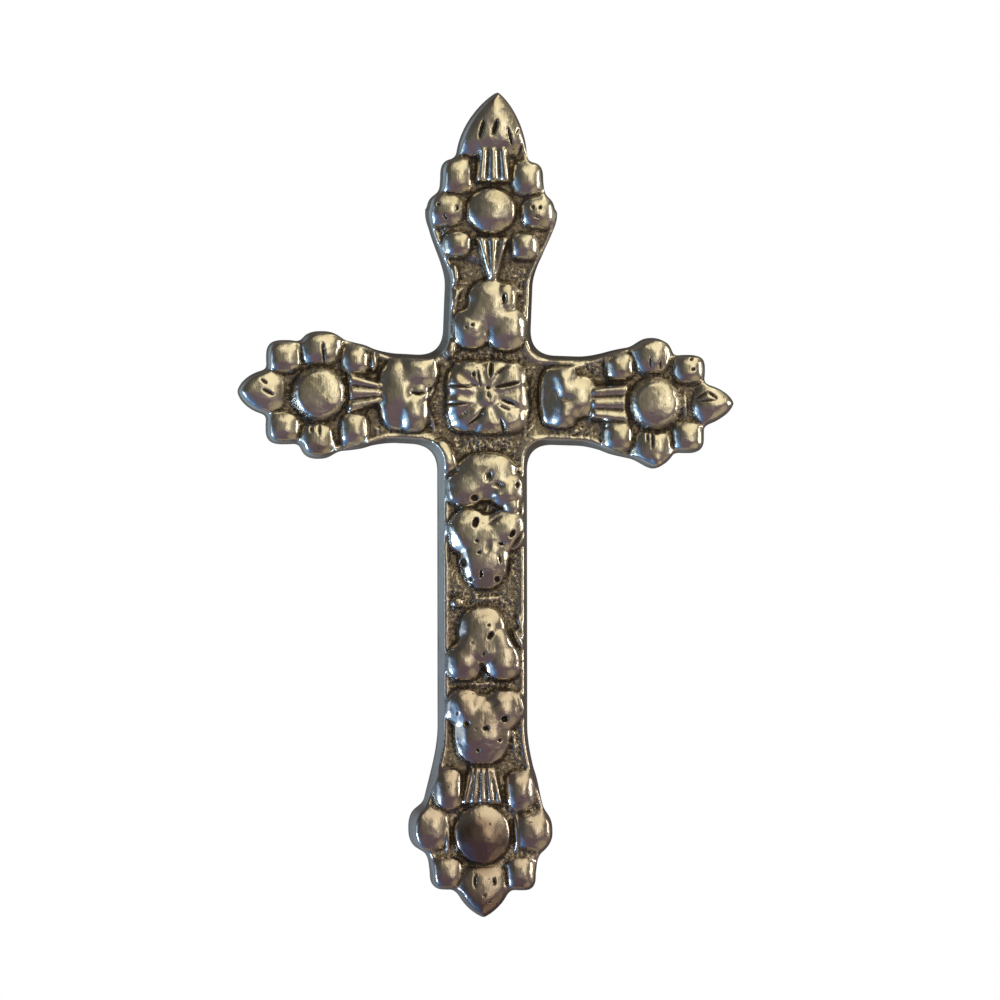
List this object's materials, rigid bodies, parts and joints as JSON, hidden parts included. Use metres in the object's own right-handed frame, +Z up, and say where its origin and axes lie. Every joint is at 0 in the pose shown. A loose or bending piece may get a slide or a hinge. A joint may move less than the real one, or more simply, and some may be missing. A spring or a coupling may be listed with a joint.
{
  "type": "metal wall cross",
  "caption": "Cast metal wall cross with rosette-ended arms, raised tulip and flower carving, a flat back and a nail pocket behind the upper arm.",
  "frame": {"origin": "on the flat back, at the middle of the crossing", "axes": "+Z up along the upright, +X along the right arm as the viewer faces the cross, -Y out of the carved face, +Y into the wall"},
  "size_m": [0.1982, 0.016, 0.3292],
  "materials": {
    "cast_metal": "polished on the raised carving, with a dark brown patina left in the field, grooves and pits"
  },
  "bodies": {
    "root": {"cross": "cast_metal"}
  },
  "joints": []
}
